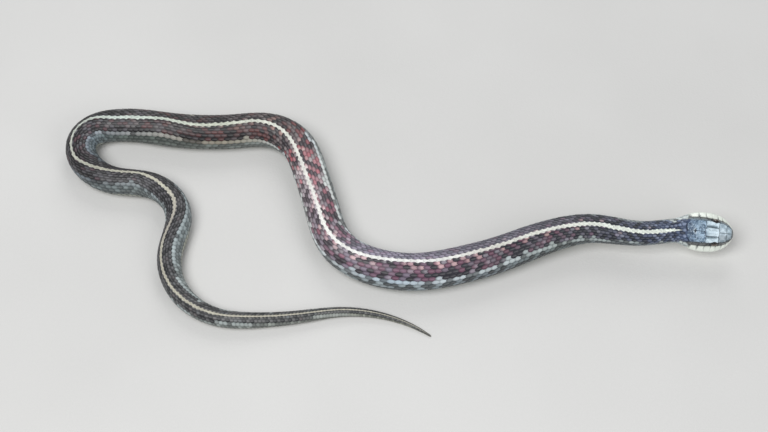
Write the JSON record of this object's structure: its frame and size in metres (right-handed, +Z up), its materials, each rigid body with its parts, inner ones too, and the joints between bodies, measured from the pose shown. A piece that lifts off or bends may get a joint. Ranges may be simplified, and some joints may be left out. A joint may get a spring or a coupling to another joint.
{
  "type": "garter snake",
  "caption": "Life-size still model of a coast garter snake lying in loose bends with its head a little raised.",
  "frame": {"origin": "centre of the bounding box in plan, at the level on which the belly rests", "axes": "+X to the right along the head, +Y away from the viewer, +Z up"},
  "size_m": [0.2986, 0.1164, 0.0176],
  "materials": {
    "scaled_skin": "keeled scales with a low sheen, red and black checks, a cream stripe on the back and a pale stripe on each side",
    "head_shields": "smooth blue-grey head shields with a wet gloss",
    "lips": "smooth white lip shields with dark bars at their seams",
    "eyes": "dark glossy eye under its clear scale"
  },
  "bodies": {
    "root": {"head": "head_shields", "lower_jaw": "lips", "eye_left": "eyes", "eye_right": "eyes", "neck": "scaled_skin", "torso_1": "scaled_skin", "torso_2": "scaled_skin", "torso_3": "scaled_skin", "torso_4": "scaled_skin", "torso_5": "scaled_skin", "torso_6": "scaled_skin", "torso_7": "scaled_skin", "torso_8": "scaled_skin", "torso_9": "scaled_skin", "torso_10": "scaled_skin", "tail_1": "scaled_skin", "tail_2": "scaled_skin", "tail_3": "scaled_skin"}
  },
  "joints": []
}
